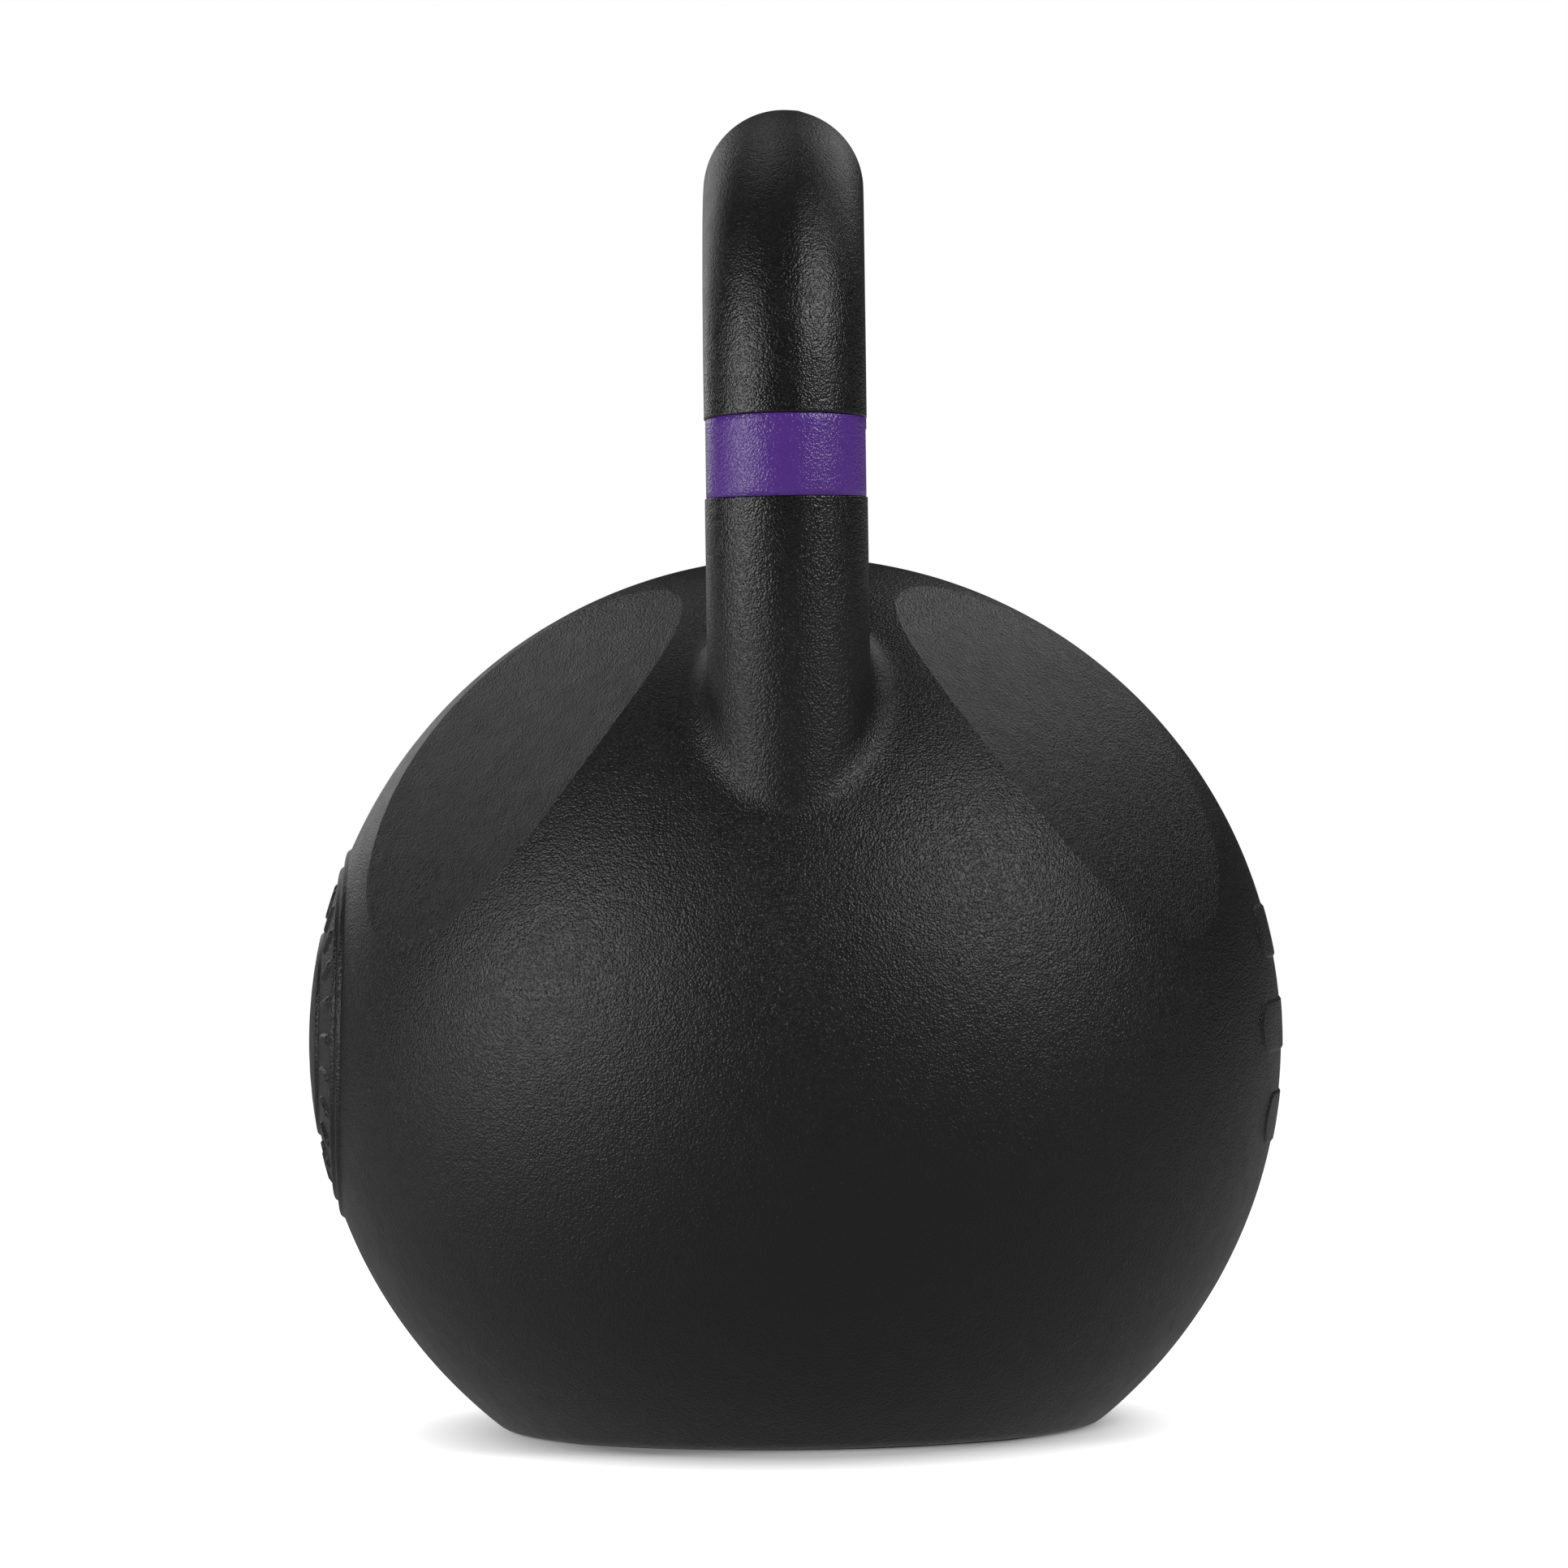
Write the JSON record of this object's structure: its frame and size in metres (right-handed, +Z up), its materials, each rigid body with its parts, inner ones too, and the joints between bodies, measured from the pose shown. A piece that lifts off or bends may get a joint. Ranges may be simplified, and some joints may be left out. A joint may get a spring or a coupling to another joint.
{
  "type": "kettlebell",
  "caption": "Cast-iron exercise weight with a round hollow ball, flat base, forearm facets, looped round grip and coloured bands on its horns.",
  "frame": {"origin": "centre of the flat base, on the floor", "axes": "+Z up through the ball to the grip, X along the grip from horn to horn, -Y towards the ring badge and +Y towards the bar badge"},
  "size_m": [0.21, 0.211, 0.2838],
  "materials": {
    "black_powder_coat": "matte",
    "bare_steel": "satin",
    "purple_band_coat": "satin"
  },
  "bodies": {
    "root": {"bell_casting": "black_powder_coat", "core_plug": "bare_steel", "weight_band_left": "purple_band_coat", "weight_band_right": "purple_band_coat"}
  },
  "joints": []
}
